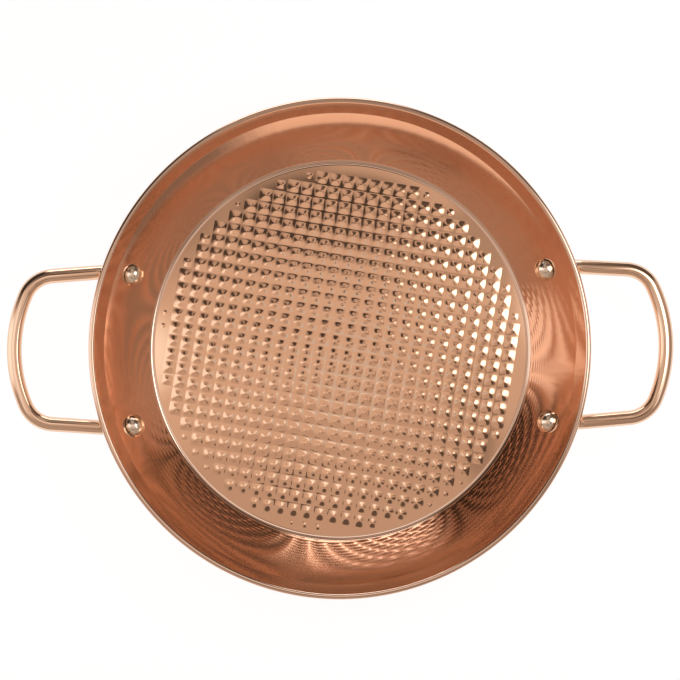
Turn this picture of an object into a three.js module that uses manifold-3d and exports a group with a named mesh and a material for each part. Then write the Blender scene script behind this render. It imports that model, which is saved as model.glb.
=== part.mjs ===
// Seafood pan: a shallow flared copper pan with an embossed base and two riveted loop handles.
// Millimetres, +Z up. The origin is the centre of the base's underside, and X runs through the handles.
import * as THREE from "three";
import { mergeVertices } from "three/addons/utils/BufferGeometryUtils.js";
import Module from "manifold-3d";

// Pan sheet
const RIM_DIAMETER = 300;
const PAN_HEIGHT = 42;
const SHEET = 1.5;
const WALL_LEAN = THREE.MathUtils.degToRad(36.65); // off vertical, flaring outwards
const BASE_FILLET = 4; // inside radius between base and wall
const RIM_BEAD = 3.6; // diameter of the rolled rim

// Embossed field of the base
const BUMP_PITCH = 8.24;
const BUMP_HEIGHT = 0.5;
const FIELD_BORDER = 7.5; // plain ring between the last full bumps and the base fillet
const FIELD_FADE = 5; // over this width bumps shrink to nothing
const FIELD_LIFT = 0.15; // the valleys stand this far above the plain ring, so the ring takes the weight
const FIELD_ANGLE = THREE.MathUtils.degToRad(-10.1); // rows against the line through the handles
const FIELD_OFFSET_X = -4.25; // centre of the bump nearest the middle of the base
const FIELD_OFFSET_Y = -2.6;
const SMALLEST_BUMP = 0.3; // share of a full bump below which none is pressed

// Handles
const ROD_DIAMETER = 8.8;
const HANDLE_PROJECTION = 49; // from the rim to the outside of the bow
const RIVET_SPACING = 92; // between the two rivets of a handle
const ARM_TAPER = THREE.MathUtils.degToRad(4.4); // each arm leans towards the other
const HANDLE_RISE = THREE.MathUtils.degToRad(6); // the loop climbs away from the pan
const CORNER_RADIUS = 18.5; // to the middle of the rod
const BOW_RADIUS = 85; // to the middle of the rod
const BEND_RADIUS = 12; // where the rod leaves the wall
const TAB_WIDTH = 16;
const TAB_THICKNESS = 3.2;
const TAB_FLAT = 7; // flat length above the rivet
const TAB_NECK = 6; // length over which the flat becomes round

// Rivets
const RIVET_BELOW_RIM = 18.6; // rim top to the rivet, measured at the wall's inside
const HEAD_DIAMETER = 13.6;
const HEAD_HEIGHT = 5.4;
const TAIL_DIAMETER = 11;
const TAIL_HEIGHT = 2.6;
const SHANK_DIAMETER = 6;
const DRILL_LENGTH = 50; // of the drill that opens the holes, half of it to either side of the wall

// Clearances
const SEAT_GAP = 0.3; // between pieces that bear on each other
const HOLE_GAP = 0.3; // round the shank

// Fineness of the round forms
const PAN_SEGMENTS = 72;
const ARC_STEPS = 4;
const BEAD_STEPS = 8;
const ROD_SIDES = 12;
const RIVET_SEGMENTS = 16;
const DOME_STEPS = 5;
const BEND_STEPS = 5;
const LOOP_STEPS = 8; // on each corner and on each half of the bow
const MERGE_DISTANCE = 1e-4;

const COPPER = { color: 0xd1a37e, roughness: 0.18, metalness: 1 };
const HANDLE_COPPER = { color: 0xd8a578, roughness: 0.12, metalness: 1 };
const RIVET_METAL = { color: 0xe6d5c0, roughness: 0.12, metalness: 1 };

const UP = new THREE.Vector3(0, 0, 1);
const wasm = await Module();
wasm.setup();

// A closed geometry as a solid, with coincident points joined and collapsed triangles dropped.
function solidOf(geometry) {
  const bare = geometry.clone();
  bare.deleteAttribute("normal");
  bare.deleteAttribute("uv");
  const merged = mergeVertices(bare, MERGE_DISTANCE);
  const index = merged.index.array;
  const kept = [];
  for (let k = 0; k < index.length; k += 3) {
    const [a, b, c] = [index[k], index[k + 1], index[k + 2]];
    if (a !== b && b !== c && c !== a) kept.push(a, b, c);
  }
  const vertProperties = new Float32Array(merged.attributes.position.array);
  const triVerts = new Uint32Array(kept);
  return new wasm.Manifold(new wasm.Mesh({ numProp: 3, vertProperties, triVerts }));
}

function geometryOf(solid) {
  const mesh = solid.getMesh();
  const geometry = new THREE.BufferGeometry();
  geometry.setAttribute("position", new THREE.BufferAttribute(mesh.vertProperties, 3));
  geometry.setIndex(new THREE.BufferAttribute(mesh.triVerts, 1));
  geometry.computeVertexNormals();
  return geometry;
}

// A revolved profile of (radius, height) points about Z.
function revolve(profile, segments) {
  return new THREE.LatheGeometry(profile, segments).rotateX(Math.PI / 2);
}

// Points on an arc, from one angle to another, both ends included.
function arc(centre, radius, from, to, steps) {
  return Array.from({ length: steps + 1 }, (_, k) => {
    const angle = from + ((to - from) * k) / steps;
    return new THREE.Vector2(Math.cos(angle), Math.sin(angle)).multiplyScalar(radius).add(centre);
  });
}

// Sizes of the pan's section that the other pieces seat on
const BEAD_RADIUS = RIM_BEAD / 2;
const beadCentre = new THREE.Vector2(RIM_DIAMETER / 2 - BEAD_RADIUS, PAN_HEIGHT - BEAD_RADIUS);
const wallUp = new THREE.Vector2(Math.sin(WALL_LEAN), Math.cos(WALL_LEAN));
const wallOut = new THREE.Vector2(Math.cos(WALL_LEAN), -Math.sin(WALL_LEAN));
const wallTop = beadCentre.clone().addScaledVector(wallOut, -BEAD_RADIUS);

function innerRadius(z) {
  return wallTop.x - (wallTop.y - z) * Math.tan(WALL_LEAN);
}

const filletTurn = Math.PI / 2 - WALL_LEAN;
const innerFloor = innerRadius(SHEET) - BASE_FILLET * Math.tan(filletTurn / 2);
const filletCentre = new THREE.Vector2(innerFloor, SHEET + BASE_FILLET);

// The sheet's section, drawn from the underside round the outside and down the inside.
function sheetProfile() {
  const down = -Math.PI / 2;
  const outside = arc(filletCentre, BASE_FILLET + SHEET, down, down + filletTurn, ARC_STEPS);
  const outerTop = wallTop.clone().addScaledVector(wallOut, SHEET);
  const inwards = Math.PI - WALL_LEAN;
  const meet = Math.asin((SHEET - BEAD_RADIUS) / BEAD_RADIUS);
  const bead = arc(beadCentre, BEAD_RADIUS, -WALL_LEAN - Math.PI / 2 + meet, inwards, BEAD_STEPS);
  const inside = arc(filletCentre, BASE_FILLET, down + filletTurn, down, ARC_STEPS);
  const axis = [new THREE.Vector2(0, 0), new THREE.Vector2(0, SHEET)];
  const wallFoot = outerTop.clone().addScaledVector(wallUp, -RIM_BEAD);
  return [axis[0], ...outside, wallFoot, ...bead, ...inside, axis[1]];
}

// Field of bumps: every lattice cell with its share of a full bump, from 1 inside to 0 past the fade.
const fieldRadius = innerFloor - FIELD_BORDER;

function fieldCells() {
  const reach = Math.ceil(innerFloor / BUMP_PITCH) + 1;
  const cells = [];
  for (let i = -reach; i <= reach; i++) {
    for (let j = -reach; j <= reach; j++) {
      const place = new THREE.Vector2(i * BUMP_PITCH, j * BUMP_PITCH);
      place.rotateAround(new THREE.Vector2(), FIELD_ANGLE);
      const distance = Math.hypot(place.x + FIELD_OFFSET_X, place.y + FIELD_OFFSET_Y);
      const share = THREE.MathUtils.clamp(1 - (distance - fieldRadius) / FIELD_FADE, 0, 1);
      if (share >= SMALLEST_BUMP) cells.push({ i, j, share });
    }
  }
  return cells;
}

function placeInField(geometry) {
  return geometry.rotateZ(FIELD_ANGLE).translate(FIELD_OFFSET_X, FIELD_OFFSET_Y, 0);
}

// A block whose top is a quilt of four-sided pyramids, one to a cell, over a flat floor.
function quilt(cells, { tip, valley, edge, floor }) {
  const key = (i, j) => i + "," + j;
  const present = new Set(cells.map(({ i, j }) => key(i, j)));
  const points = [];
  const triangles = [];
  const known = new Map();
  const point = (name, x, y, z) => {
    if (!known.has(name)) {
      known.set(name, points.length / 3);
      points.push(x * BUMP_PITCH, y * BUMP_PITCH, z);
    }
    return known.get(name);
  };
  const corner = (i, j) => {
    const around = [[i, j], [i - 1, j], [i, j - 1], [i - 1, j - 1]];
    const inside = around.every(([a, b]) => present.has(key(a, b)));
    return point("top " + key(i, j), i - 0.5, j - 0.5, inside ? valley : edge);
  };
  const foot = (i, j) => point("foot " + key(i, j), i - 0.5, j - 0.5, floor);
  for (const { i, j } of cells) {
    const ring = [[i, j], [i + 1, j], [i + 1, j + 1], [i, j + 1]];
    const beyond = [[i, j - 1], [i + 1, j], [i, j + 1], [i - 1, j]];
    const peak = point("tip " + key(i, j), i, j, tip);
    const top = ring.map(([a, b]) => corner(a, b));
    const feet = ring.map(([a, b]) => foot(a, b));
    triangles.push(feet[0], feet[2], feet[1], feet[0], feet[3], feet[2]);
    beyond.forEach(([a, b], side) => {
      const next = (side + 1) % ring.length;
      triangles.push(top[side], top[next], peak);
      if (present.has(key(a, b))) return;
      triangles.push(feet[side], feet[next], top[next], feet[side], top[next], top[side]);
    });
  }
  const geometry = new THREE.BufferGeometry();
  geometry.setAttribute("position", new THREE.Float32BufferAttribute(points, 3));
  geometry.setIndex(triangles);
  return solidOf(placeInField(geometry));
}

// A small pyramid for a bump that the edge of the field leaves part pressed.
function smallBump({ i, j, share }, { tip, valley, floor }) {
  const sunk = valley - floor;
  const height = (tip - valley) * share;
  const slope = BUMP_PITCH / 2 / (tip - valley);
  const radius = (height + sunk) * slope * Math.SQRT2;
  const pyramid = new THREE.ConeGeometry(radius, height + sunk, 4).rotateX(Math.PI / 2);
  pyramid.rotateZ(Math.PI / 4);
  pyramid.translate(i * BUMP_PITCH, j * BUMP_PITCH, floor + (height + sunk) / 2);
  return solidOf(placeInField(pyramid));
}

// Where the rivets of the right handle cross the wall's inside, for side +1 (back) or -1 (front)
function rivetSeat(side) {
  const z = PAN_HEIGHT - RIVET_BELOW_RIM;
  const radius = innerRadius(z);
  const azimuth = Math.asin(RIVET_SPACING / 2 / radius) * side;
  const around = new THREE.Vector2(Math.cos(azimuth), Math.sin(azimuth));
  const point = new THREE.Vector3(radius * around.x, radius * around.y, z);
  const out = new THREE.Vector3(wallOut.x * around.x, wallOut.x * around.y, wallOut.y);
  return { point, out };
}

// A cylinder along a rivet's axis, longer than everything it has to pass through.
function rivetHole({ point, out }) {
  const radius = SHANK_DIAMETER / 2 + HOLE_GAP;
  const drill = new THREE.CylinderGeometry(radius, radius, DRILL_LENGTH, RIVET_SEGMENTS);
  drill.rotateX(Math.PI / 2);
  const turn = new THREE.Quaternion().setFromUnitVectors(UP, out);
  return solidOf(drill.applyQuaternion(turn).translate(point.x, point.y, point.z));
}

function panGeometry() {
  let pan = solidOf(revolve(sheetProfile(), PAN_SEGMENTS));
  const cells = fieldCells();
  const full = cells.filter(({ share }) => share === 1);
  const partial = cells.filter(({ share }) => share < 1);
  const buried = SHEET / 2;
  const relief = { tip: FIELD_LIFT + BUMP_HEIGHT, valley: FIELD_LIFT };
  const face = { tip: SHEET + relief.tip, valley: SHEET + relief.valley };
  pan = pan.add(quilt(full, { ...face, edge: SHEET - FIELD_LIFT, floor: buried }));
  pan = pan.subtract(quilt(full, { ...relief, edge: -FIELD_LIFT, floor: -SHEET }));
  for (const cell of partial) {
    pan = pan.add(smallBump(cell, { tip: face.tip, valley: SHEET, floor: SHEET - FIELD_LIFT }));
    pan = pan.subtract(smallBump(cell, { tip: relief.tip, valley: 0, floor: -FIELD_LIFT }));
  }
  for (const side of [1, -1]) {
    const hole = rivetHole(rivetSeat(side));
    pan = pan.subtract(hole).subtract(hole.rotate([0, 0, 180]));
  }
  return geometryOf(pan);
}

// Handle: rings along the rod from the tab's rounded end to the middle of the bow, then mirrored.
function ring(centre, along, thick, halfWidth, halfThickness, squareness) {
  const wide = new THREE.Vector3().crossVectors(along, thick).normalize();
  const power = (value) => Math.sign(value) * Math.abs(value) ** (2 / squareness);
  return Array.from({ length: ROD_SIDES }, (_, k) => {
    const angle = (2 * Math.PI * k) / ROD_SIDES;
    const point = centre.clone().addScaledVector(wide, halfWidth * power(Math.cos(angle)));
    return point.addScaledVector(thick, halfThickness * power(Math.sin(angle)));
  });
}

// The loop's plan, from the end of the bend along the arm and round the corner to the bow's middle.
function loopPlan(start) {
  const rod = RIM_DIAMETER / 2 + HANDLE_PROJECTION - ROD_DIAMETER / 2;
  const bowCentre = new THREE.Vector2(rod - BOW_RADIUS, 0);
  const arm = new THREE.Vector2(Math.cos(ARM_TAPER), -Math.sin(ARM_TAPER));
  const inwards = new THREE.Vector2(-Math.sin(ARM_TAPER), -Math.cos(ARM_TAPER));
  const offset = start.clone().addScaledVector(inwards, CORNER_RADIUS).sub(bowCentre);
  const half = offset.dot(arm);
  const reach = (BOW_RADIUS - CORNER_RADIUS) ** 2 - offset.lengthSq();
  const corner = offset.addScaledVector(arm, Math.sqrt(half * half + reach) - half);
  const bowAngle = corner.angle();
  corner.add(bowCentre);
  const path = new THREE.Path().moveTo(start.x, start.y);
  const armEnd = corner.clone().addScaledVector(inwards, -CORNER_RADIUS);
  path.lineTo(armEnd.x, armEnd.y);
  path.absarc(corner.x, corner.y, CORNER_RADIUS, Math.PI / 2 - ARM_TAPER, bowAngle, true);
  path.absarc(bowCentre.x, bowCentre.y, BOW_RADIUS, bowAngle, 0, true);
  return path;
}

const FORGED = 6; // squareness of the flattened tab's section, where 2 is round
const ROUND = 2;

function handleGeometry() {
  const { point, out } = rivetSeat(1);
  const level = new THREE.Vector3(Math.cos(ARM_TAPER), -Math.sin(ARM_TAPER), 0);
  const steep = Math.atan2(level.dot(out), -out.z);
  const upWall = level.clone().multiplyScalar(Math.cos(steep)).addScaledVector(UP, Math.sin(steep));
  const climb = Math.atan(Math.tan(HANDLE_RISE) * Math.cos(ARM_TAPER));
  const arm = level.clone().multiplyScalar(Math.cos(climb)).addScaledVector(UP, Math.sin(climb));
  const face = point.clone().addScaledVector(out, SHEET + SEAT_GAP);
  const halfRod = ROD_DIAMETER / 2;
  const halfTab = TAB_THICKNESS / 2;
  const stations = [];
  const station = (centre, halfWidth, halfThickness, squareness) => {
    stations.push({ centre, halfWidth, halfThickness, squareness });
  };
  const onTab = (along, depth) => face.clone().addScaledVector(upWall, along).addScaledVector(out, depth);
  for (let k = 1; k <= DOME_STEPS; k++) {
    const turn = (Math.PI / 2) * (k / DOME_STEPS);
    const halfWidth = (TAB_WIDTH / 2) * Math.sin(turn);
    station(onTab((-TAB_WIDTH / 2) * Math.cos(turn), halfTab), halfWidth, halfTab, FORGED);
  }
  for (let k = 0; k <= ARC_STEPS; k++) {
    const share = THREE.MathUtils.smoothstep(k / ARC_STEPS, 0, 1);
    const depth = THREE.MathUtils.lerp(halfTab, halfRod, share);
    const halfWidth = THREE.MathUtils.lerp(TAB_WIDTH / 2, halfRod, share);
    const squareness = THREE.MathUtils.lerp(FORGED, ROUND, share);
    station(onTab(TAB_FLAT + (TAB_NECK * k) / ARC_STEPS, depth), halfWidth, depth, squareness);
  }
  const bendStart = onTab(TAB_FLAT + TAB_NECK, halfRod);
  const lead = BEND_RADIUS * Math.tan((steep - climb) / 2);
  const bendCorner = bendStart.clone().addScaledVector(upWall, lead);
  const bendEnd = bendCorner.clone().addScaledVector(arm, lead);
  const bend = new THREE.QuadraticBezierCurve3(bendStart, bendCorner, bendEnd);
  bend.getPoints(BEND_STEPS).slice(1).forEach((p) => station(p, halfRod, halfRod, ROUND));
  const plan = loopPlan(new THREE.Vector2(bendEnd.x, bendEnd.y));
  for (const curve of plan.curves) {
    const steps = curve.isLineCurve ? 1 : LOOP_STEPS;
    for (const p of curve.getPoints(steps).slice(1)) {
      const z = bendEnd.z + (p.x - bendEnd.x) * Math.tan(HANDLE_RISE);
      station(new THREE.Vector3(p.x, p.y, z), halfRod, halfRod, ROUND);
    }
  }
  const middle = stations.length - 1;
  const thick = out.clone();
  const rings = stations.map(({ centre, halfWidth, halfThickness, squareness }, k) => {
    const before = stations[Math.max(k - 1, 0)].centre;
    const after = stations[Math.min(k + 1, middle)].centre;
    const along = k === middle ? new THREE.Vector3(0, -1, 0) : after.clone().sub(before).normalize();
    if (k > DOME_STEPS) thick.addScaledVector(along, -thick.dot(along)).normalize();
    return ring(centre, along, thick, halfWidth, halfThickness, squareness);
  });
  const mirrored = rings.slice(0, middle).reverse();
  const far = mirrored.map((points) => points.map(({ x, y, z }) => new THREE.Vector3(x, -y, z)));
  let handle = solidOf(loft([...rings, ...far]));
  for (const side of [1, -1]) handle = handle.subtract(rivetHole(rivetSeat(side)));
  return geometryOf(handle);
}

// A skin over rings of equal count, closed with a fan at each end.
function loft(rings) {
  const count = rings[0].length;
  const points = rings.flat();
  const triangles = [];
  for (let r = 0; r + 1 < rings.length; r++) {
    for (let k = 0; k < count; k++) {
      const next = (k + 1) % count;
      const [a, b] = [r * count + k, r * count + next];
      triangles.push(a, b + count, b, a, a + count, b + count);
    }
  }
  const last = (rings.length - 1) * count;
  for (let k = 1; k + 1 < count; k++) {
    triangles.push(0, k, k + 1, last, last + k + 1, last + k);
  }
  const geometry = new THREE.BufferGeometry().setFromPoints(points);
  geometry.setIndex(triangles);
  return geometry;
}

// Rivet along +Z, which points out of the pan, with z = 0 on the inside of the wall.
function rivetGeometry() {
  const headSeat = -SEAT_GAP;
  const tailSeat = SHEET + SEAT_GAP + TAB_THICKNESS + SEAT_GAP;
  const dome = (radius, height, seat, direction) => {
    return Array.from({ length: DOME_STEPS }, (_, k) => {
      const turn = (Math.PI / 2) * (k / DOME_STEPS);
      return new THREE.Vector2(radius * Math.cos(turn), seat + direction * height * Math.sin(turn));
    });
  };
  const head = dome(HEAD_DIAMETER / 2, HEAD_HEIGHT, headSeat, -1).reverse();
  const tail = dome(TAIL_DIAMETER / 2, TAIL_HEIGHT, tailSeat, 1);
  const shank = [headSeat, tailSeat].map((z) => new THREE.Vector2(SHANK_DIAMETER / 2, z));
  const ends = [headSeat - HEAD_HEIGHT, tailSeat + TAIL_HEIGHT].map((z) => new THREE.Vector2(0, z));
  return revolve([ends[0], ...head, ...shank, ...tail, ends[1]], RIVET_SEGMENTS);
}

function piece(name, geometry, finish) {
  const mesh = new THREE.Mesh(geometry, new THREE.MeshStandardMaterial(finish));
  mesh.name = name;
  return mesh;
}

const pan = new THREE.Group();
pan.add(piece("pan_body", panGeometry(), COPPER));
for (const [hand, turn] of [["right", 0], ["left", Math.PI]]) {
  const side = new THREE.Group();
  side.rotation.z = turn;
  side.add(piece("handle_" + hand, handleGeometry(), HANDLE_COPPER));
  for (const sign of [1, -1]) {
    const end = sign * Math.cos(turn) > 0 ? "back" : "front";
    const rivet = piece("rivet_" + hand + "_" + end, rivetGeometry(), RIVET_METAL);
    const { point, out } = rivetSeat(sign);
    rivet.position.copy(point);
    rivet.quaternion.setFromUnitVectors(UP, out);
    side.add(rivet);
  }
  pan.add(side);
}

export default pan;
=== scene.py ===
# %% [markdown]
# # A copper seafood pan, dressed piece by piece
# The pan is one pressed sheet with a quilt of low bumps in its base, two loops of bent rod and four
# rivets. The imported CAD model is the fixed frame: every piece below is modelled in metres, in the
# same place as the solid that it stands for.

# %% Load the fixed frame
import math

import bmesh
import bpy
from mathutils import Matrix, Quaternion, Vector


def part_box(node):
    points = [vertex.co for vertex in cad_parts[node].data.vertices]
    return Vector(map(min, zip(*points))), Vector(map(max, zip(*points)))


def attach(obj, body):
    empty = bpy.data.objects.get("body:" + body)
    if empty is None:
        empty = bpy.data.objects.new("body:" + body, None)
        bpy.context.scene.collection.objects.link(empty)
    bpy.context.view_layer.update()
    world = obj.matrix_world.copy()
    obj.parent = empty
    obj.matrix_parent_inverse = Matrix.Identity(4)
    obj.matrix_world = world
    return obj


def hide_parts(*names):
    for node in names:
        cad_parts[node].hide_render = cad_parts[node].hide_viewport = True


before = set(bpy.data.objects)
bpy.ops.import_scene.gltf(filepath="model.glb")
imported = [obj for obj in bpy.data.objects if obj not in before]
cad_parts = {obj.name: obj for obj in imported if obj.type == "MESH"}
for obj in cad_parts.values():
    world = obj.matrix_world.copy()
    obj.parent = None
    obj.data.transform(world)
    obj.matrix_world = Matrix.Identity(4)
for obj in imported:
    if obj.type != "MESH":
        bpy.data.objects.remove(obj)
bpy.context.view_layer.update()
MM = 0.001
print("nodes in the frame:", ", ".join(sorted(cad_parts)))

# %% [markdown]
# ## Tools for working as by hand
# An operator changes all that is selected, and loading the frame leaves its solids selected. So these
# helpers clear the selection first. Later ones pick points, edges or faces by where they are, which
# is what a modeller does by eye.


# %% Selection helpers
def put_down():
    """Leave every object unselected, in object mode."""
    if bpy.context.object and bpy.context.object.mode != "OBJECT":
        bpy.ops.object.mode_set(mode="OBJECT")
    bpy.ops.object.select_all(action="DESELECT")


def pick_up(piece):
    """Make one object the only selected one."""
    put_down()
    piece.select_set(True)
    bpy.context.view_layer.objects.active = piece


def open_mesh(piece):
    """Pick a piece up and enter edit mode."""
    pick_up(piece)
    bpy.ops.object.mode_set(mode="EDIT")


def settle(piece):
    """Put the place, turn and scale of a piece into its points."""
    pick_up(piece)
    bpy.ops.object.transform_apply(location=True, rotation=True, scale=True)


put_down()
print("objects left selected:", len(bpy.context.selected_objects))

# %% [markdown]
# ## The section of the pan
# A real pan of this kind is drawn from one sheet, so all that is round on it comes from half a
# section: flat base, a small fillet, a straight flared wall and a rolled rim. The section could be
# drawn by eye as a curve. Here it is worked out from the drawing sizes of the solid, so that the sheet
# lies exactly where the solid is. A faint crease near the top of the wall catches the light as a band.

# %% Work out the pan's section
RIM_RADIUS = 150 * MM
PAN_HEIGHT = 42 * MM
SHEET = 1.5 * MM
WALL_LEAN = math.radians(36.65)
BASE_FILLET = 4 * MM
BEAD_RADIUS = 1.8 * MM
FILLET_STEPS = 10
BEAD_STEPS = 24
WALL_STEPS = 4
CREASE_SHARE = 0.82
CREASE_DEPTH = 0.2 * MM
SUPPORT = 0.06
CREASE_SUPPORT = 0.015

wall_out = Vector((math.cos(WALL_LEAN), -math.sin(WALL_LEAN)))
bead_centre = Vector((RIM_RADIUS - BEAD_RADIUS, PAN_HEIGHT - BEAD_RADIUS))
wall_top = bead_centre - wall_out * BEAD_RADIUS


def inner_radius(height):
    """Radius of the wall's inside at a height."""
    return wall_top.x - (wall_top.y - height) * math.tan(WALL_LEAN)


fillet_turn = math.pi / 2 - WALL_LEAN
FLOOR_RADIUS = inner_radius(SHEET) - BASE_FILLET * math.tan(fillet_turn / 2)
fillet_centre = Vector((FLOOR_RADIUS, SHEET + BASE_FILLET))


def arc(centre, radius, start, end, steps):
    """Points of a round stretch, from one angle to another."""
    angles = [start + (end - start) * k / steps for k in range(steps + 1)]
    return [centre + radius * Vector((math.cos(a), math.sin(a))) for a in angles]


def sheet_section():
    """The section from the inside edge of the base, over the rim and back under the base."""
    down = -math.pi / 2
    inside = arc(fillet_centre, BASE_FILLET, down, down + fillet_turn, FILLET_STEPS)
    foot = inside[-1]
    crease = foot.lerp(wall_top, CREASE_SHARE) + wall_out * CREASE_DEPTH
    lower = [foot.lerp(crease, share) for share in (SUPPORT, 0.5, 1 - CREASE_SUPPORT)]
    upper = [crease.lerp(wall_top, share) for share in (SUPPORT, 1 - SUPPORT)]
    meet = math.asin((SHEET - BEAD_RADIUS) / BEAD_RADIUS)
    under_bead = -WALL_LEAN - math.pi / 2 + meet
    bead = arc(bead_centre, BEAD_RADIUS, math.pi - WALL_LEAN, under_bead, BEAD_STEPS)
    outside = arc(fillet_centre, BASE_FILLET + SHEET, down + fillet_turn, down, FILLET_STEPS)
    outer_wall = [bead[-1].lerp(outside[0], k / WALL_STEPS) for k in range(1, WALL_STEPS)]
    return inside + lower + upper + bead + outer_wall + outside


section = sheet_section()
solid_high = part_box("pan_body")[1]
print(f"floor radius {FLOOR_RADIUS / MM:.2f} mm, section of {len(section)} points")
print("top of the solid:", [round(value / MM, 2) for value in solid_high], "mm")

# %% [markdown]
# ## One bump of the quilt
# The press raises the sheet into rows of low pyramids with a steep tip and a gentle skirt. A height
# picture could raise the whole base at once, but it would need many more faces for such clear ridges.
# So a single bump is pulled up out of a small grid: first square by square, which gives the ridges,
# and then by the tip alone with proportional editing, so that the skirt follows it softly.

# %% Pull up one bump
BUMP_PITCH = 8.24 * MM
BUMP_HEIGHT = 0.76 * MM
BUMP_CUTS = 8
PYRAMID_SHARE = 0.3
TIP_REACH = 5.0 * MM


def select_points(piece, rule):
    """In edit mode, select the vertices for which rule(vertex) is true."""
    bpy.ops.mesh.select_mode(type="VERT")
    bpy.ops.mesh.select_all(action="DESELECT")
    mesh = bmesh.from_edit_mesh(piece.data)
    for vertex in mesh.verts:
        vertex.select = rule(vertex)
    mesh.select_flush_mode()
    bmesh.update_edit_mesh(piece.data)


put_down()
bpy.ops.mesh.primitive_grid_add(
    x_subdivisions=BUMP_CUTS, y_subdivisions=BUMP_CUTS, size=BUMP_PITCH, location=(0, 0, 0)
)
pan = bpy.context.object
pan.name = "pan_sheet"
open_mesh(pan)
square = BUMP_PITCH / BUMP_CUTS
squares = BUMP_CUTS // 2
for ring in range(squares):
    half_side = (ring + 0.5) * square
    select_points(pan, lambda vertex: max(abs(vertex.co.x), abs(vertex.co.y)) < half_side)
    bpy.ops.transform.translate(value=(0, 0, BUMP_HEIGHT * PYRAMID_SHARE / squares))
select_points(pan, lambda vertex: vertex.co.xy.length < square / 2)
bpy.ops.transform.translate(
    value=(0, 0, BUMP_HEIGHT * (1 - PYRAMID_SHARE)),
    use_proportional_edit=True,
    proportional_edit_falloff="SHARP",
    proportional_size=TIP_REACH,
)
put_down()
print(f"one bump of {len(pan.data.polygons)} faces, {pan.dimensions.z / MM:.2f} mm high")

# %% [markdown]
# ## The quilt
# Hundreds of equal bumps in straight rows are work for the Array modifier. Copies placed by hand would
# leave every seam open, while two arrays, one for the columns and one for the rows, weld them. The
# square field is then turned to the angle at which the rows stand in the real pan.

# %% Lay the bump out in rows and columns
WELD = 0.005 * MM
FIELD_ANGLE = math.radians(-10.1)
FIELD_OFFSET = Vector((-4.25, -2.6)) * MM
CELL_REACH = math.ceil(FLOOR_RADIUS / BUMP_PITCH) + 1
IN_A_ROW = 2 * CELL_REACH + 1


def apply_modifier(piece, modifier):
    """Make a modifier part of the mesh."""
    pick_up(piece)
    bpy.ops.object.modifier_apply(modifier=modifier.name)


for name, axis in (("columns", 0), ("rows", 1)):
    array = pan.modifiers.new(name, "ARRAY")
    array.count = IN_A_ROW
    array.use_relative_offset = False
    array.use_constant_offset = True
    step = [0, 0, 0]
    step[axis] = BUMP_PITCH
    array.constant_offset_displace = step
    array.use_merge_vertices = True
    array.merge_threshold = WELD
    apply_modifier(pan, array)
field_turn = Matrix.Rotation(FIELD_ANGLE, 2)
first_cell = -CELL_REACH * BUMP_PITCH
field_corner = field_turn @ Vector((first_cell, first_cell)) + FIELD_OFFSET
pan.rotation_euler.z = FIELD_ANGLE
pan.location = (field_corner.x, field_corner.y, SHEET)
settle(pan)
print("field of", IN_A_ROW, "by", IN_A_ROW, "bumps")

# %% [markdown]
# ## The round edge of the press
# The press is round, so the rows end in steps along a circle. A boolean cut would slice through bumps,
# which the real tool doesn't do. Here every face is asked for the cell that it belongs to, and the
# cells that lie past the edge are deleted whole.

# %% Delete the cells past the edge
FIELD_BORDER = 7.5 * MM
FIELD_FADE = 5 * MM
SMALLEST_BUMP = 0.3
NEARLY_FULL = 0.9
FIELD_RADIUS = FLOOR_RADIUS - FIELD_BORDER


def face_cell(face):
    """The column and row of the cell that holds a face."""
    flat = field_turn.inverted() @ (face.calc_center_median().xy - FIELD_OFFSET)
    return round(flat.x / BUMP_PITCH), round(flat.y / BUMP_PITCH)


def cell_centre(cell):
    """The middle of a cell, seen from above."""
    return field_turn @ (Vector(cell) * BUMP_PITCH) + FIELD_OFFSET


def pressed_share(cell):
    """How much of a full bump the press makes there: 1 well inside, falling to 0 at the edge."""
    share = 1 - (cell_centre(cell).length - FIELD_RADIUS) / FIELD_FADE
    return 1 if share > NEARLY_FULL else max(share, 0)


def select_faces(piece, rule):
    """In edit mode, select the faces for which rule(face) is true."""
    bpy.ops.mesh.select_mode(type="FACE")
    bpy.ops.mesh.select_all(action="DESELECT")
    mesh = bmesh.from_edit_mesh(piece.data)
    for face in mesh.faces:
        if rule(face):
            face.select_set(True)
    bmesh.update_edit_mesh(piece.data)


open_mesh(pan)
select_faces(pan, lambda face: pressed_share(face_cell(face)) < SMALLEST_BUMP)
bpy.ops.mesh.delete(type="FACE")
cells = {face_cell(face) for face in bmesh.from_edit_mesh(pan.data).faces}
edge_cells = sorted(cell for cell in cells if pressed_share(cell) < 1)
print(len(cells), "bumps, of which", len(edge_cells), "at the edge are only part pressed")

# %% [markdown]
# ## Part-pressed bumps at the edge
# Round the edge of the field some of the real bumps are smaller, because the press only just reaches
# the sheet there. Lifting them less would make them flat. Each of those cells is split from its
# neighbours and scaled about its own centre instead, which keeps the form of the bump.


# %% Shrink the bumps at the edge
def select_open_edges(piece):
    """In edit mode, select the edges that bound a hole or carry no face."""
    bpy.ops.mesh.select_mode(type="EDGE")
    bpy.ops.mesh.select_all(action="DESELECT")
    mesh = bmesh.from_edit_mesh(piece.data)
    for edge in mesh.edges:
        if len(edge.link_faces) < 2:
            edge.select_set(True)
    bmesh.update_edit_mesh(piece.data)


for cell in edge_cells:
    select_faces(pan, lambda face: face_cell(face) == cell)
    bpy.ops.mesh.split()
    share = pressed_share(cell)
    centre = cell_centre(cell)
    bpy.ops.transform.resize(
        value=(share, share, share), center_override=(centre.x, centre.y, SHEET)
    )
select_open_edges(pan)
bpy.ops.transform.resize(value=(1, 1, 0), center_override=(0, 0, SHEET))
smallest = min(pressed_share(cell) for cell in edge_cells)
print(f"edge bumps shrunk, the smallest to {smallest:.2f} of the full size")

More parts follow.
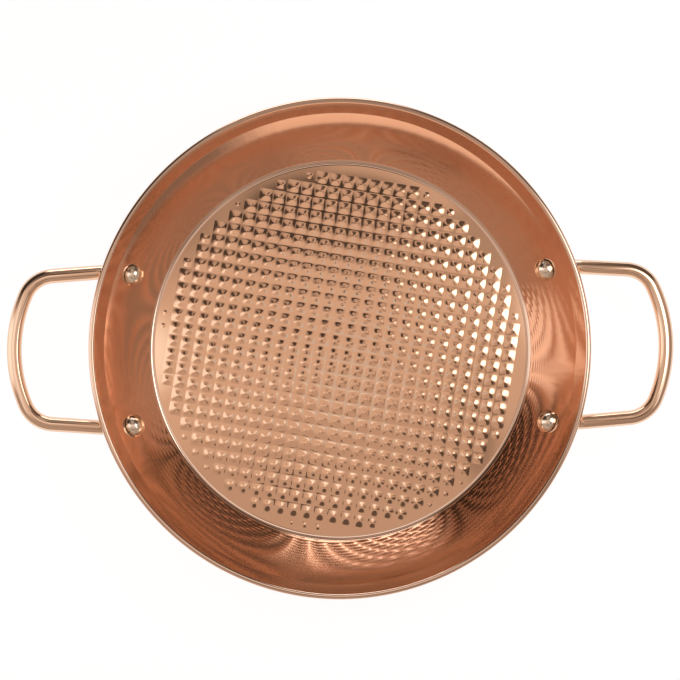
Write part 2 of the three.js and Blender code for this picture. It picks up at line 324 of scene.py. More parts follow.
# %% [markdown]
# ## The plain border and the underside
# Between the quilt and the fillet lies a flat ring. Drawing it face by face round a ragged edge would
# be slow, so a circle is added at the fillet's edge and Fill closes the space between the two. A thin
# inset keeps the shading of the flat ring apart from that of the bumps. The pressed sheet has the same
# form underneath, so the base is then copied down by the thickness of the sheet and turned over.

# %% Fill the border and copy the underside
PAN_SEGMENTS = 192
BORDER_STRIP = 0.15 * MM
bpy.ops.mesh.primitive_circle_add(
    vertices=PAN_SEGMENTS, radius=FLOOR_RADIUS, fill_type="NOTHING", location=(0, 0, SHEET)
)
select_open_edges(pan)
bpy.ops.mesh.fill(use_beauty=True)
bpy.ops.mesh.select_mode(type="FACE")
bpy.ops.mesh.inset(thickness=BORDER_STRIP)
bpy.ops.mesh.select_all(action="SELECT")
bpy.ops.mesh.normals_make_consistent(inside=False)
bpy.ops.mesh.duplicate_move(TRANSFORM_OT_translate={"value": (0, 0, -SHEET)})
bpy.ops.mesh.flip_normals()
put_down()
print("base, both sides:", len(pan.data.polygons), "faces")

# %% [markdown]
# ## Fillet, wall and rolled rim
# The rest of the sheet is round. A Screw modifier could turn the section into it, but here one ring of
# edges is extruded along the section, as a maker draws a wall up: each step extrudes the ring, scales
# it to the new radius and lifts it to the new height. The ring has as many points as the edge of the
# border, so the two weld into one closed sheet.

# %% Raise the wall ring by ring
RIM_SHARP = math.radians(40)


def select_everything():
    """In edit mode, select all points and edges."""
    bpy.ops.mesh.select_mode(type="EDGE")
    bpy.ops.mesh.select_all(action="SELECT")


def draw_rings(points):
    """Extrude the selected ring through the (radius, height) points of a section."""
    for here, there in zip(points, points[1:]):
        bpy.ops.mesh.extrude_region_move()
        grow = there.x / here.x
        bpy.ops.transform.resize(value=(grow, grow, 1), center_override=(0, 0, 0))
        bpy.ops.transform.translate(value=(0, 0, there.y - here.y))


def close_and_smooth(piece, sharp_angle):
    """Weld touching points, point the faces outwards and shade round all but the sharp edges."""
    open_mesh(piece)
    bpy.ops.mesh.select_all(action="SELECT")
    bpy.ops.mesh.remove_doubles(threshold=WELD)
    bpy.ops.mesh.normals_make_consistent(inside=False)
    pick_up(piece)
    bpy.ops.object.shade_smooth_by_angle(angle=sharp_angle)
    piece.data.calc_loop_triangles()
    print(piece.name, "has", len(piece.data.loop_triangles), "triangles")


put_down()
bpy.ops.mesh.primitive_circle_add(
    vertices=PAN_SEGMENTS, radius=section[0].x, fill_type="NOTHING", location=(0, 0, section[0].y)
)
wall = bpy.context.object
settle(wall)
open_mesh(wall)
select_everything()
draw_rings(section)
pick_up(wall)
pan.select_set(True)
bpy.context.view_layer.objects.active = pan
bpy.ops.object.join()
close_and_smooth(pan, RIM_SHARP)

# %% [markdown]
# ## Flat places that look flat
# Smooth shading averages the faces round a point, so a bump would tint the flat sheet beside it. On
# polished metal every such tint shows. Weighted Normal lets the larger faces decide, which keeps the
# plain border calm.

# %% Even out the shading
even = pan.modifiers.new("flat_facets", "WEIGHTED_NORMAL")
even.keep_sharp = True
apply_modifier(pan, even)
print("pan of", [round(size / MM, 1) for size in pan.dimensions], "mm")

# %% [markdown]
# ## Loop handles
# Each handle is a rod of round section with flattened ends, held by two rivets that cross the wall. A
# bevelled curve would give the rod quickly, but not its flattened ends. So the rod grows from a tab by
# Extrude and Spin, and all starts with the place where a rivet crosses the wall.

# %% Where the rivets cross the wall
RIVET_BELOW_RIM = 18.6 * MM
RIVET_SPACING = 92 * MM


def rivet_seat(side):
    """Point on the wall's inside and direction out of the pan, for the right handle's rivets."""
    height = PAN_HEIGHT - RIVET_BELOW_RIM
    radius = inner_radius(height)
    azimuth = math.asin(RIVET_SPACING / 2 / radius) * side
    around = Vector((math.cos(azimuth), math.sin(azimuth)))
    point = Vector((radius * around.x, radius * around.y, height))
    out = Vector((wall_out.x * around.x, wall_out.x * around.y, wall_out.y))
    return point, out


rivet_point, rivet_out = rivet_seat(1)
print("rivet at", [round(value / MM, 1) for value in rivet_point], "mm")

# %% [markdown]
# ## The line of the rod
# On the real pan the handle is one straight rod, bent cold round formers. Its centre line is worked
# out before anything is drawn, because each bend has to end where the next straight starts. The first
# stretch climbs the wall from the tab and bends over into the arm.

# %% From the tab to the arm
ROD_RADIUS = 4.4 * MM
ARM_TAPER = math.radians(4.4)
HANDLE_RISE = math.radians(6)
BEND_RADIUS = 12 * MM
TAB_FLAT = 7 * MM
TAB_NECK = 6 * MM
SEAT_GAP = 0.3 * MM

UP = Vector((0, 0, 1))
level = Vector((math.cos(ARM_TAPER), -math.sin(ARM_TAPER), 0))
steep = math.atan2(level.dot(rivet_out), -rivet_out.z)
up_wall = level * math.cos(steep) + UP * math.sin(steep)
climb = math.atan(math.tan(HANDLE_RISE) * math.cos(ARM_TAPER))
arm = level * math.cos(climb) + UP * math.sin(climb)

tab_face = rivet_point + rivet_out * (SHEET + SEAT_GAP)
neck_end = tab_face + up_wall * (TAB_FLAT + TAB_NECK) + rivet_out * ROD_RADIUS
lead = BEND_RADIUS * math.tan((steep - climb) / 2)
bend_end = neck_end + (up_wall + arm) * lead
print(f"the rod bends by {math.degrees(steep - climb):.1f} degrees above the tab")

# %% [markdown]
# ## Corner and bow
# From there the arm runs straight out, turns a round corner and goes over into a shallow bow. Corner
# and bow touch without a kink when their centres and the point where they meet lie on one line. Only
# half of the loop is needed, because it is the same on both sides.

# %% From the arm to the middle of the bow
HANDLE_PROJECTION = 49 * MM
CORNER_RADIUS = 18.5 * MM
BOW_RADIUS = 85 * MM

# The loop lies in a plane that rises from the pan: along is outwards in it, normal stands on it.
along = Vector((math.cos(HANDLE_RISE), 0, math.sin(HANDLE_RISE)))
normal = Vector((-math.sin(HANDLE_RISE), 0, math.cos(HANDLE_RISE)))
bow_x = RIM_RADIUS + HANDLE_PROJECTION - ROD_RADIUS
bow_middle = Vector((bow_x, 0, bend_end.z + (bow_x - bend_end.x) * math.tan(HANDLE_RISE)))
bow_centre = bow_middle - along * BOW_RADIUS


def in_plane(vector):
    """A direction as two numbers in the plane of the loop."""
    return Vector((vector.dot(along), vector.y))


arm_flat = in_plane(arm).normalized()
inwards = Vector((arm_flat.y, -arm_flat.x))
offset = in_plane(bend_end - bow_centre) + inwards * CORNER_RADIUS
half = offset.dot(arm_flat)
reach = (BOW_RADIUS - CORNER_RADIUS) ** 2 - offset.length_squared
arm_length = math.sqrt(half * half + reach) - half
corner_flat = offset + arm_flat * arm_length
corner_centre = bow_centre + along * corner_flat.x + Vector((0, corner_flat.y, 0))
bow_angle = math.atan2(corner_flat.y, corner_flat.x)
corner_turn = math.atan2(-inwards.y, -inwards.x) - bow_angle
print(f"arm {arm_length / MM:.1f} mm, half bow {math.degrees(bow_angle):.1f} degrees")

# %% [markdown]
# ## The neck of the tab
# The end of the rod is hammered flat, which makes it wider and thinner. A scaled cylinder would change
# all at once, so a ring of the rod's size is drawn out in a few steps that go smoothly from the round
# section to the flat one. It is made lying on the ground and stood against the wall later.

# %% Draw out the neck
TAB_WIDTH = 16 * MM
TAB_THICKNESS = 3.2 * MM
ROD_SIDES = 32
NECK_STEPS = 6

put_down()
bpy.ops.mesh.primitive_circle_add(
    vertices=ROD_SIDES, radius=ROD_RADIUS, fill_type="NOTHING", rotation=(0, math.pi / 2, 0)
)
handle = bpy.context.object
handle.name = "handle_rod_right"
handle.location = (TAB_FLAT + TAB_NECK, 0, ROD_RADIUS)
settle(handle)
open_mesh(handle)
select_everything()


def smooth_step(share):
    """A share from 0 to 1 that starts and ends gently."""
    return share * share * (3 - 2 * share)


def between(start, end, share):
    """A value between two, by a share from 0 to 1."""
    return start + (end - start) * share


def pull_ring(forward, wide, thick):
    """Extrude the selected ring along the tab and scale its width and its thickness off the wall."""
    bpy.ops.mesh.extrude_region_move()
    bpy.ops.transform.translate(value=(forward, 0, 0))
    bpy.ops.transform.resize(value=(1, wide, thick), center_override=(0, 0, 0))


wide_now = ROD_RADIUS
thick_now = ROD_RADIUS
for k in range(1, NECK_STEPS + 1):
    share = smooth_step(k / NECK_STEPS)
    wide_next = between(ROD_RADIUS, TAB_WIDTH / 2, share)
    thick_next = between(ROD_RADIUS, TAB_THICKNESS / 2, share)
    pull_ring(-TAB_NECK / NECK_STEPS, wide_next / wide_now, thick_next / thick_now)
    wide_now = wide_next
    thick_now = thick_next
print(f"neck drawn out to {2 * wide_now / MM:.1f} by {2 * thick_now / MM:.1f} mm")

# %% [markdown]
# ## The round end of the tab
# A hammered tab is flat on both faces and round at its end. The last ring is pressed flat by scaling
# its upper and lower points to one height each, and is then pulled along and narrowed in steps of a
# quarter circle. Last of all the tab is stood against the slope of the wall.

# %% Hammer the tab flat and round its end
TAB_STEPS = 8
TAB_TIP = 0.04
EDGE_BAND = 0.3 * TAB_THICKNESS
tab_middle = TAB_THICKNESS / 2


def in_last_ring(vertex):
    return abs(vertex.co.x - TAB_FLAT) < WELD


for face_height, side in ((TAB_THICKNESS, 1), (0, -1)):
    select_points(
        handle,
        lambda vertex: in_last_ring(vertex)
        and side * (vertex.co.z - tab_middle) > tab_middle - EDGE_BAND,
    )
    bpy.ops.transform.resize(value=(1, 1, 0), center_override=(0, 0, face_height))
select_points(handle, in_last_ring)
pull_ring(-TAB_FLAT, 1, 1)
turns = [math.pi / 2 * k / TAB_STEPS for k in range(TAB_STEPS + 1)]
for turn, following in zip(turns, turns[1:]):
    forward = TAB_WIDTH / 2 * (math.sin(turn) - math.sin(following))
    pull_ring(forward, max(math.cos(following), TAB_TIP) / math.cos(turn), 1)
bpy.ops.mesh.edge_face_add()
put_down()
tab_turn = Matrix((up_wall, rivet_out.cross(up_wall), rivet_out)).transposed()
handle.matrix_world = Matrix.Translation(tab_face) @ tab_turn.to_4x4()
settle(handle)
print("tab forged,", len(handle.data.polygons), "faces")

# %% [markdown]
# ## Bending and mirroring
# Spin turns the last ring of edges about an axis, just as a bender turns a rod round a former, so each
# bend is true. Bending a finished straight rod would stretch its faces. When half of the loop is made,
# a Mirror modifier adds the other half and welds the two in the middle.

# %% Bend the rod and mirror it
BEND_STEPS = 12
CORNER_STEPS = 16
BOW_STEPS = 12
TAB_SHARP = math.radians(50)
open_mesh(handle)
select_points(handle, lambda vertex: abs((vertex.co - neck_end).dot(up_wall)) < WELD)
bend_axis = level.cross(UP)
bend_centre = bend_end + (level * math.sin(climb) - UP * math.cos(climb)) * BEND_RADIUS
bpy.ops.mesh.spin(steps=BEND_STEPS, angle=steep - climb, center=bend_centre, axis=bend_axis)
bpy.ops.mesh.extrude_region_move(TRANSFORM_OT_translate={"value": arm * arm_length})
bpy.ops.mesh.spin(steps=CORNER_STEPS, angle=corner_turn, center=corner_centre, axis=normal)
bpy.ops.mesh.spin(steps=BOW_STEPS, angle=bow_angle, center=bow_centre, axis=normal)
put_down()
mirror = handle.modifiers.new("other_half", "MIRROR")
mirror.use_axis = (False, True, False)
mirror.merge_threshold = 2 * WELD
apply_modifier(handle, mirror)
close_and_smooth(handle, TAB_SHARP)
print("handle of", [round(size / MM, 1) for size in handle.dimensions], "mm")

# %% [markdown]
# ## Rivets
# A rivet is turned: a domed head inside the pan, a shank through wall and tab, and a low tail that was
# hammered over outside. A sphere and a cylinder pushed together would overlap inside. The ring method
# of the wall gives one closed skin, drawn upright here and stood on the wall's slope afterwards.

# %% Turn one rivet
HEAD_RADIUS = 6.8 * MM
HEAD_HEIGHT = 5.4 * MM
TAIL_RADIUS = 5.5 * MM
TAIL_HEIGHT = 2.6 * MM
SHANK_RADIUS = 3 * MM
RIVET_SIDES = 40
DOME_STEPS = 12
POLE_RADIUS = 0.02 * MM


def dome(radius, height, seat, direction):
    """Half an ellipse from its foot at the seat to just short of the pole."""
    turns = [math.pi / 2 * k / DOME_STEPS for k in range(DOME_STEPS)]
    foot_to_top = [
        Vector((radius * math.cos(turn), seat + direction * height * math.sin(turn))) for turn in turns
    ]
    return foot_to_top + [Vector((POLE_RADIUS, seat + direction * height))]


head_seat = -SEAT_GAP
tail_seat = SHEET + SEAT_GAP + TAB_THICKNESS + SEAT_GAP
shank = [Vector((SHANK_RADIUS, head_seat)), Vector((SHANK_RADIUS, tail_seat))]
rivet_section = (
    dome(HEAD_RADIUS, HEAD_HEIGHT, head_seat, -1)[::-1]
    + shank
    + dome(TAIL_RADIUS, TAIL_HEIGHT, tail_seat, 1)
)
put_down()
bpy.ops.mesh.primitive_circle_add(
    vertices=RIVET_SIDES, radius=POLE_RADIUS, fill_type="NGON", location=(0, 0, rivet_section[0].y)
)
rivet = bpy.context.object
rivet.name = "rivet_turned"
settle(rivet)
open_mesh(rivet)
select_open_edges(rivet)
draw_rings(rivet_section)
bpy.ops.mesh.edge_face_add()
close_and_smooth(rivet, TAB_SHARP)

# %% [markdown]
# ## Copies
# The second handle is the first one turned half round, and one rivet serves for all four. Linked
# copies would share one mesh, but each piece has to stand in for its own solid of the frame, so every
# copy gets a mesh of its own.

# %% Copy the handle and the rivets to their places
ABOUT_Z = Matrix.Rotation(math.pi, 4, "Z")


def copy_of(piece, name, place):
    """A copy with a mesh of its own, moved by a matrix that goes into its points."""
    twin = piece.copy()
    twin.data = piece.data.copy()
    twin.name = name
    bpy.context.scene.collection.objects.link(twin)
    twin.matrix_world = place
    settle(twin)
    return twin


handles = {"handle_right": handle, "handle_left": copy_of(handle, "handle_rod_left", ABOUT_Z)}
rivets = {}
for hand, about in (("right", Matrix.Identity(4)), ("left", ABOUT_Z)):
    for side in (1, -1):
        point, out = rivet_seat(side)
        stand = Matrix.Translation(point) @ UP.rotation_difference(out).to_matrix().to_4x4()
        end = "back" if (side > 0) == (hand == "right") else "front"
        rivets[f"rivet_{hand}_{end}"] = copy_of(rivet, f"rivet_head_{hand}_{end}", about @ stand)
bpy.data.objects.remove(rivet)
print(len(handles), "handles and", len(rivets), "rivets")

# %% [markdown]
# ## Shader arithmetic
# A finish is a small calculation over the surface. Wire wraps a socket so that plain Python sums make
# the Math nodes, and Finish makes any other node from its type, its settings and its inputs. Wiring
# nodes one by one would do the same, but a formula is easier to read.


# %% Helpers for materials
class Wire:
    """A socket that takes part in Python arithmetic."""

    def __init__(self, finish, socket):
        self.finish = finish
        self.socket = socket

    def combine(self, operation, first, second=0.0):
        node = self.finish.node("ShaderNodeMath", {"operation": operation}, {0: first, 1: second})
        return node.out(0)

    def __add__(self, other):
        return self.combine("ADD", self, other)

    def __radd__(self, other):
        return self.combine("ADD", other, self)

    def __sub__(self, other):
        return self.combine("SUBTRACT", self, other)

    def __rsub__(self, other):
        return self.combine("SUBTRACT", other, self)

    def __mul__(self, other):
        return self.combine("MULTIPLY", self, other)

    def __rmul__(self, other):
        return self.combine("MULTIPLY", other, self)

    def __truediv__(self, other):
        return self.combine("DIVIDE", self, other)

    def __rtruediv__(self, other):
        return self.combine("DIVIDE", other, self)

    def __abs__(self):
        return self.combine("ABSOLUTE", self)

    def square_root(self):
        return self.combine("SQRT", self)

    def angle_over(self, across):
        return self.combine("ARCTAN2", self, across)

    def at_most(self, limit):
        return self.combine("MINIMUM", self, limit)


class Made:
    """A node with its outputs at hand as wires."""

    def __init__(self, finish, node):
        self.finish = finish
        self.node = node

    def out(self, name):
        return Wire(self.finish, self.node.outputs[name])


class Finish:
    """A node tree under construction."""

    def __init__(self, tree):
        self.tree = tree
        tree.nodes.clear()

    def node(self, kind, settings=None, inputs=None):
        node = self.tree.nodes.new(kind)
        for name, value in (settings or {}).items():
            setattr(node, name, value)
        for name, value in (inputs or {}).items():
            if isinstance(value, Wire):
                self.tree.links.new(value.socket, node.inputs[name])
            else:
                node.inputs[name].default_value = value
        return Made(self, node)


def new_material(name):
    """An empty material and the finish that fills it."""
    material = bpy.data.materials.new(name)
    material.use_nodes = True
    return material, Finish(material.node_tree)


def rgba(red, green, blue):
    """A colour in the form that a socket takes."""
    return (red, green, blue, 1)


# %% [markdown]
# ## Bare metal
# All pieces are bare copper in a few tones, so their finishes share some parts. The colour comes from
# the metal and all the rest from reflections: a fully metallic shader does that. A soft noise varies
# tone and roughness, because one even colour would look like paint.


# %% Parts that the metals share
def object_place(finish):
    """Where a point lies on its own piece, in metres."""
    return finish.node("ShaderNodeTexCoord").out("Object")


def object_axes(finish):
    """The same as three numbers."""
    split = finish.node("ShaderNodeSeparateXYZ", None, {0: object_place(finish)})
    return split.out("X"), split.out("Y"), split.out("Z")


def noise(finish, vector, scale, detail=2.0):
    """A soft noise from 0 to 1."""
    inputs = {"Vector": vector, "Scale": scale, "Detail": detail}
    return finish.node("ShaderNodeTexNoise", None, inputs).out("Fac")


def mix_colour(finish, share, first, second):
    """A colour between two, by a share from 0 to 1."""
    inputs = {0: share, 6: rgba(*first), 7: rgba(*second)}
    return finish.node("ShaderNodeMix", {"data_type": "RGBA"}, inputs).out(2)


def metal_output(finish, base, roughness, relief=None):
    """A bare metal from its colour, its roughness and, where it has one, its fine relief."""
    inputs = {"Base Color": base, "Metallic": 1.0, "Roughness": roughness}
    if relief is not None:
        bump = {"Height": relief, "Strength": 1.0, "Distance": 1.0}
        inputs["Normal"] = finish.node("ShaderNodeBump", None, bump).out("Normal")
    shader = finish.node("ShaderNodeBsdfPrincipled", None, inputs)
    finish.node("ShaderNodeOutputMaterial", None, {"Surface": shader.out("BSDF")})


# %% [markdown]
# ## Spun copper of the wall
# The wall was turned and polished, which leaves faint rings and a little chatter. A perfect mirror
# would be too clean: it is this relief, a hundredth of a millimetre deep, that breaks the reflections
# into fans of light. Both are noises on round coordinates, stretched along the turn or up the wall.

# %% Spun copper of the wall
WALL_COPPER = (0.84, 0.585, 0.445)
WALL_DEEP = (0.804, 0.54, 0.40)
WALL_PATCHES = 14
WALL_ROUGH = 0.045
CHATTER_ROUND = 30
CHATTER_UP = 45
CHATTER_DEPTH = 0.012 * MM
RINGS_ROUND = 1.2
RINGS_OUT = 420
RINGS_DEPTH = 0.0008 * MM
RINGS_ROUGH = 0.02


def wall_copper():
    material, finish = new_material("spun_wall_copper")
    x, y, height = object_axes(finish)
    radius = (x * x + y * y).square_root()
    angle = y.angle_over(x)
    across = {0: angle * CHATTER_ROUND, 1: radius * CHATTER_UP, 2: height * CHATTER_UP}
    chatter = noise(finish, finish.node("ShaderNodeCombineXYZ", None, across).out(0), 1.0, 1.0)
    around = {0: angle * RINGS_ROUND, 1: radius * RINGS_OUT}
    rings = noise(finish, finish.node("ShaderNodeCombineXYZ", None, around).out(0), 1.0)
    patches = noise(finish, object_place(finish), WALL_PATCHES)
    base = mix_colour(finish, patches, WALL_COPPER, WALL_DEEP)
    relief = chatter * CHATTER_DEPTH + rings * RINGS_DEPTH
    metal_output(finish, base, WALL_ROUGH + rings * RINGS_ROUGH, relief)
    return material


wall_metal = wall_copper()
print(wall_metal.name, "with", len(wall_metal.node_tree.nodes), "nodes")

# %% [markdown]
# ## Plain copper of base, handles and rivets
# The base was pressed after polishing, so it has no rings, and its pattern comes from the bumps alone.
# The rods are polished to match, and the rivets are paler and shine more softly. A material for each
# could be wired by hand, but one function makes all three, since only tone and polish differ.

# %% Plain copper of base, handles and rivets
BASE_COPPER = (0.93, 0.585, 0.39)
BASE_DEEP = (0.91, 0.5525, 0.36)
HANDLE_COPPER = (0.92, 0.645, 0.47)
HANDLE_DEEP = (0.83, 0.54, 0.37)
RIVET_PALE = (0.99, 0.83, 0.68)
RIVET_DEEP = (0.97, 0.76, 0.59)


def plain_copper(name, tones, patch_scale, roughness):
    """Copper between two tones, with its least roughness and how much the patches add to it."""
    material, finish = new_material(name)
    patches = noise(finish, object_place(finish), patch_scale)
    base = mix_colour(finish, patches, *tones)
    least, spread = roughness
    metal_output(finish, base, least + patches * spread)
    return material


base_metal = plain_copper(
    "pressed_base_copper", (BASE_COPPER, BASE_DEEP), patch_scale=16, roughness=(0.06, 0.04)
)
handle_metal = plain_copper(
    "handle_rose_copper", (HANDLE_COPPER, HANDLE_DEEP), patch_scale=30, roughness=(0.07, 0.05)
)
rivet_metal = plain_copper(
    "rivet_pale_copper", (RIVET_PALE, RIVET_DEEP), patch_scale=60, roughness=(0.12, 0.05)
)
print("plain coppers:", base_metal.name, handle_metal.name, rivet_metal.name)

# %% [markdown]
# ## Give the pieces their metals
# The sheet has two finishes, spun on the wall and pressed on the base. Cutting it in two would open a
# seam, so one piece keeps both materials and each face says which one it has, by its distance from the
# middle.

# %% Give the pieces their metals
pan.data.materials.append(wall_metal)
pan.data.materials.append(base_metal)
for polygon in pan.data.polygons:
    on_base = polygon.center.xy.length < FLOOR_RADIUS
    polygon.material_index = 1 if on_base else 0
for piece in handles.values():
    piece.data.materials.append(handle_metal)
for piece in rivets.values():
    piece.data.materials.append(rivet_metal)
pressed = sum(polygon.material_index for polygon in pan.data.polygons)
print(pressed, "faces of the pan are pressed and", len(pan.data.polygons) - pressed, "are spun")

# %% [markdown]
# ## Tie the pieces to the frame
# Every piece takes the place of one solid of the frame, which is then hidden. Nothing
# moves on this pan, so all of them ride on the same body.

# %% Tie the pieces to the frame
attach(pan, "root")
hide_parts("pan_body")
for node, piece in handles.items():
    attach(piece, "root")
    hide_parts(node)
for node, piece in rivets.items():
    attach(piece, "root")
    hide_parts(node)
print("pieces tied:", 1 + len(handles) + len(rivets))

# %% [markdown]
# ## Floor
# The pan lies on a white sweep. Stronger lamps would bleach the copper before the floor turns white.
# So its white is only for rays that look straight at it, from the camera or from the metal, and it
# adds no light to the pan. Part of the floor stays plain matt white and keeps the shadow. Seen from
# underneath the floor is clear, so that the base can be looked at.

# %% Studio floor
FLOOR_SIZE = 6
FLOOR_GAP = 0.2 * MM
FLOOR_MATT = 0.8
FLOOR_WHITE = 0.78
FLOOR_GLOW = 1.18
scene = bpy.context.scene
scene.view_settings.view_transform = "Standard"


def looked_at(finish):
    """1 where the camera, a mirror or a glass looks straight at it."""
    path = finish.node("ShaderNodeLightPath")
    seen = path.out("Is Camera Ray") + path.out("Is Glossy Ray") + path.out("Is Transmission Ray")
    return seen.at_most(1.0)


def mix_shader(finish, share, first, second):
    """A surface between two, by a share from 0 to 1."""
    return finish.node("ShaderNodeMixShader", None, {0: share, 1: first.out(0), 2: second.out(0)})


def floor_white():
    material, finish = new_material("floor_white")
    grey = rgba(FLOOR_MATT, FLOOR_MATT, FLOOR_MATT)
    matt = finish.node("ShaderNodeBsdfDiffuse", None, {"Color": grey})
    glow = finish.node("ShaderNodeEmission", None, {"Color": rgba(1, 1, 1), "Strength": FLOOR_GLOW})
    white = mix_shader(finish, looked_at(finish) * FLOOR_WHITE, matt, glow)
    clear = finish.node("ShaderNodeBsdfTransparent")
    below = finish.node("ShaderNodeNewGeometry").out("Backfacing")
    surface = mix_shader(finish, below, white, clear)
    finish.node("ShaderNodeOutputMaterial", None, {"Surface": surface.out(0)})
    return material


put_down()
bpy.ops.mesh.primitive_plane_add(size=FLOOR_SIZE, location=(0, 0, -FLOOR_GAP))
floor = bpy.context.object
floor.name = "studio_floor"
floor.data.materials.append(floor_white())
print("floor of", FLOOR_SIZE, "m,", round(FLOOR_GAP / MM, 1), "mm under the pan")

# %% [markdown]
# ## Sky
# Outside the tent there is only an even sky. It is dim as a light, so that it doesn't wash the metal
# out, and white to whatever looks straight at it, like the floor.

# %% Studio sky
SKY = 0.4
world = bpy.data.worlds.new("studio_sky")
world.use_nodes = True
scene.world = world
finish = Finish(world.node_tree)
dim = finish.node("ShaderNodeBackground", None, {"Color": rgba(SKY, SKY, SKY), "Strength": 1.0})
white = finish.node("ShaderNodeBackground", None, {"Color": rgba(1, 1, 1), "Strength": 1.0})
sky = mix_shader(finish, looked_at(finish), dim, white)
finish.node("ShaderNodeOutputWorld", None, {"Surface": sky.out(0)})
print("sky of", SKY)

# %% [markdown]
# ## A light tent
# Polished metal shows its surroundings, so product photographers build a tent round it. Bare lamps
# would show as small white dots in every bump. This tent is a flat ceiling with a hole for the camera
# and a skirt down to the floor: a ring is extruded outwards and then down.

# %% Pitch the tent
CEILING = 0.366
TENT_RADIUS = 0.75
TENT_SIDES = 96
OPENING = 0.042
OPENING_AT = (0.003, -0.016, CEILING)
put_down()
bpy.ops.mesh.primitive_circle_add(
    vertices=TENT_SIDES, radius=OPENING, fill_type="NOTHING", location=OPENING_AT
)
tent = bpy.context.object
tent.name = "light_tent"
settle(tent)
open_mesh(tent)
select_everything()
bpy.ops.mesh.extrude_region_move()
widen = TENT_RADIUS / OPENING
bpy.ops.transform.resize(value=(widen, widen, 1), center_override=OPENING_AT)
bpy.ops.mesh.extrude_region_move(TRANSFORM_OT_translate={"value": (0, 0, -CEILING)})
put_down()
tent.visible_camera = False
print("tent of", [round(size, 2) for size in tent.dimensions], "m")

# %% [markdown]
# ## Cloths on the tent
# Light and dark cloths hang in the tent and shape the reflections. Broad sectors of the skirt show in
# the wall of the pan. Soft patches on the ceiling show in the base: pale ones make the flat copper glow
# and dark ones draw the edges of the bumps. They are painted on as masks, since a mesh for each would
# have hard edges. Each one lies over those before it, and dim cloth is a little warmer than bright.

# %% Paint the tent
TENT_LEVEL = 0.45
# Direction and half width in degrees, upper edge in metres, brightness.
SECTORS = {
    "north_east_dark": (52, 22, 1.0, 0.11),
    "north": (97, 20, 1.0, 0.30),
    "north_low_bright": (97, 20, 0.19, 3.3),
    "north_west_dark": (139, 21, 1.0, 0.05),
    "west_bright": (178, 11, 1.0, 1.3),
    "south": (250, 45, 1.0, 0.48),
    "south_east": (325, 42, 1.0, 0.38),
}
SECTOR_START = 0.27
SECTOR_FULL = 0.40
SECTOR_SOFTNESS = 5
TOP_SOFTNESS = 0.04
# Middle to the east and to the north, reach both ways in metres, brightness.
PATCHES = {
    "overhead": (-0.03, -0.005, 0.20, 0.105, 0.72),
    "south_fill": (0.00, -0.125, 0.20, 0.08, 0.57),
    "north_fill": (0.06, 0.165, 0.075, 0.035, 0.64),
    "north_far": (-0.05, 0.25, 0.06, 0.06, 0.60),
    "dark_north_west": (-0.175, 0.16, 0.062, 0.055, 0.08),
    "dark_north": (-0.01, 0.138, 0.07, 0.027, 0.06),
    "dark_north_east": (0.08, 0.235, 0.08, 0.045, 0.10),
    "dark_gap_east": (0.112, -0.035, 0.016, 0.06, 0.34),
    "dark_south_east": (0.19, -0.115, 0.06, 0.045, 0.10),
    "dark_south": (-0.045, -0.10, 0.024, 0.013, 0.06),
    "dark_far_south": (-0.03, -0.235, 0.13, 0.04, 0.12),
    "glow_west": (-0.34, 0.00, 0.12, 0.16, 0.95),
    "glow_east": (0.40, -0.05, 0.10, 0.14, 1.1),
    "lamp_east": (0.285, 0.075, 0.12, 0.12, 3.2),
    "lamp_west": (-0.24, 0.015, 0.10, 0.05, 1.15),
}
PATCH_SOFTNESS = 0.25
WARM_LEVELS = (0.75, 1.05)
GREEN_LOSS = 0.17
BLUE_LOSS = 0.28


def soft_step(finish, value, low, high):
    """0 below low, 1 above high and smooth between them."""
    inputs = {0: value, 1: low, 2: high, 3: 0.0, 4: 1.0}
    return finish.node("ShaderNodeMapRange", {"interpolation_type": "SMOOTHSTEP"}, inputs).out(0)


def lay_over(under, mask, brightness):
    """The brightness after a cloth is laid over what was there."""
    return under + mask * (brightness - under)


def painted_cloth():
    material, finish = new_material("painted_tent")
    x, y, z = object_axes(finish)
    away = (x * x + y * y).square_root()
    outer = soft_step(finish, away, SECTOR_START, SECTOR_FULL)
    cloth = TENT_LEVEL
    for azimuth, half_width, top, brightness in SECTORS.values():
        towards = math.radians(azimuth)
        facing = (x * math.cos(towards) + y * math.sin(towards)) / away
        low = math.cos(math.radians(half_width + SECTOR_SOFTNESS))
        high = math.cos(math.radians(half_width - SECTOR_SOFTNESS))
        below_top = 1 - soft_step(finish, z, top - TOP_SOFTNESS, top + TOP_SOFTNESS)
        cloth = lay_over(cloth, soft_step(finish, facing, low, high) * outer * below_top, brightness)
    for east, north, reach_east, reach_north, brightness in PATCHES.values():
        across = (x - east) / reach_east
        along = (y - north) / reach_north
        far = (across * across + along * along).square_root()
        patch = 1 - soft_step(finish, far, 1 - PATCH_SOFTNESS, 1 + PATCH_SOFTNESS)
        cloth = lay_over(cloth, patch, brightness)
    warm = 1 - soft_step(finish, cloth, *WARM_LEVELS)
    green = cloth * (1 - warm * GREEN_LOSS)
    blue = cloth * (1 - warm * BLUE_LOSS)
    colour = finish.node("ShaderNodeCombineColor", None, {0: cloth, 1: green, 2: blue})
    glow = finish.node("ShaderNodeEmission", None, {"Color": colour.out(0), "Strength": 1.0})
    finish.node("ShaderNodeOutputMaterial", None, {"Surface": glow.out(0)})
    return material


tent.data.materials.append(painted_cloth())
print("tent with", len(SECTORS), "sectors and", len(PATCHES), "patches")

# %% [markdown]
# ## Cards above the opening
# The camera looks down through the hole in the ceiling. The top of the wall shows what lies above that
# hole, so a few cards hang there and give the light band under the rim. Their edges fade to clear,
# because a hard edge would show as a line in the copper.

# %% Hang the cards
UPPER = 0.80
UPPERMOST = 0.85
CARD_EDGE = (0.34, 0.50)
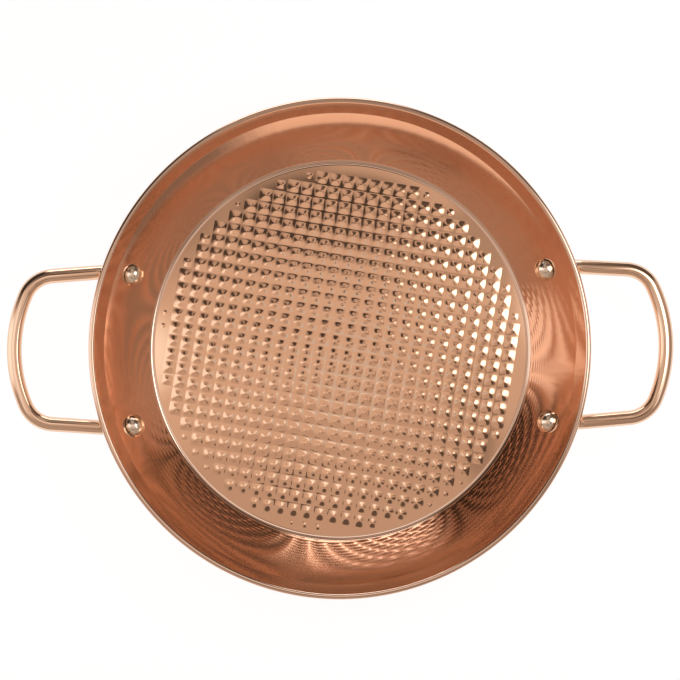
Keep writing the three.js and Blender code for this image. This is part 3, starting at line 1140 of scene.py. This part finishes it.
# Place and size in metres, brightness.
CARDS = {
    "card_above": ((0, 0, UPPERMOST), (2.0, 2.0), 0.68),
    "card_north_east": ((0.11, 0.19, UPPER), (0.45, 0.31), 1.35),
    "card_north_west": ((-0.21, 0.18, UPPER), (0.29, 0.36), 0.30),
    "card_south": ((0, -0.33, UPPER), (1.2, 0.48), 0.08),
}


def soft_card(name, brightness):
    material, finish = new_material(name)
    x, y = object_axes(finish)[:2]
    inside = 1.0
    for away in (abs(x), abs(y)):
        inside = inside * (1 - soft_step(finish, away, *CARD_EDGE))
    clear = finish.node("ShaderNodeBsdfTransparent")
    colour = rgba(brightness, brightness, brightness)
    glow = finish.node("ShaderNodeEmission", None, {"Color": colour, "Strength": 1.0})
    surface = mix_shader(finish, inside, clear, glow)
    finish.node("ShaderNodeOutputMaterial", None, {"Surface": surface.out(0)})
    return material


for name, (place, size, brightness) in CARDS.items():
    put_down()
    bpy.ops.mesh.primitive_plane_add(size=1, location=place)
    card = bpy.context.object
    card.name = name
    card.scale = (*size, 1)
    card.data.materials.append(soft_card(name, brightness))
    card.visible_camera = False
print(len(CARDS), "cards above the opening")

# %% [markdown]
# ## Camera
# The photo was taken from nearly straight above with a long lens. The camera stands a little south of
# the axis, and the picture is turned by less than a degree. Track To would hold the camera level, so
# its turn is worked out from the direction of view, and the roll is added.

# %% Camera
CAMERA_AT = Vector((0.0095, -0.047, 1.015))
AIM_AT = Vector((0.0004, 0.0036, 0.045))
ROLL = math.radians(-0.63)
SENSOR = 36
LENS = 86.6
camera_data = bpy.data.cameras.new("photo_camera")
camera_data.sensor_width = SENSOR
camera_data.lens = LENS
camera = bpy.data.objects.new("photo_camera", camera_data)
scene.collection.objects.link(camera)
camera.location = CAMERA_AT
aim = (AIM_AT - CAMERA_AT).normalized()
right = aim.cross(Vector((0, 1, 0))).normalized()
facing = Matrix((right, right.cross(aim), -aim)).transposed().to_quaternion()
camera.rotation_euler = (facing @ Quaternion((0, 0, 1), ROLL)).to_euler()
scene.camera = camera
print("camera of", LENS, "mm,", round((AIM_AT - CAMERA_AT).length, 3), "m away")
